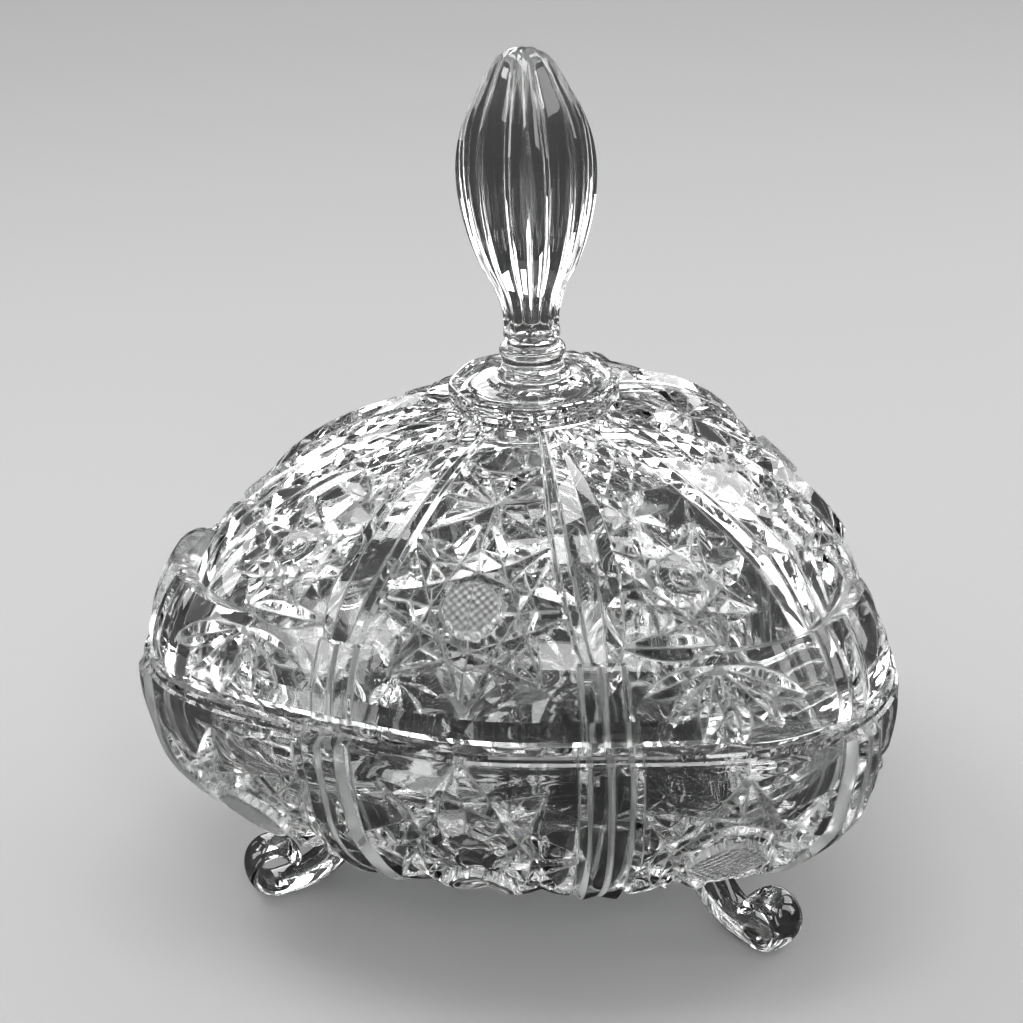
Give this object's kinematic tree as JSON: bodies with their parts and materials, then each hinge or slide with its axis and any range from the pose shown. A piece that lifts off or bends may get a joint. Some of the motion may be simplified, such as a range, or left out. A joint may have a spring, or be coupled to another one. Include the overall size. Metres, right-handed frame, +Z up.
{
  "type": "powder jar",
  "caption": "Three-footed glass powder jar with a rounded triangular bowl and a domed lid that lifts off by a tall fluted finial.",
  "frame": {"origin": "on the surface that the feet stand on, at the middle of the box round the whole jar", "axes": "+Z up, out of the bowl towards the finial; +Y towards the corner over the back foot; the axis of the jar is upright at x = 0, y = -0.0094"},
  "size_m": [0.1652, 0.1642, 0.1869],
  "materials": {
    "bowl_glass": "clear pressed glass, deeply cut outside",
    "foot_glass": "clear, fire polished",
    "lid_glass": "clear pressed glass, deeply cut outside",
    "finial_glass": "clear, fire polished"
  },
  "bodies": {
    "base": {"bowl": "bowl_glass", "foot_back": "foot_glass", "foot_left": "foot_glass", "foot_right": "foot_glass"},
    "lid": {"lid_dome": "lid_glass", "lid_plate": "lid_glass", "finial_neck": "finial_glass", "finial": "finial_glass"}
  },
  "joints": [
    {"name": "lid_lift", "type": "slide", "parent": "base", "child": "lid", "axis": [0, 0, 1], "range_m": [0, 0.12]}
  ]
}
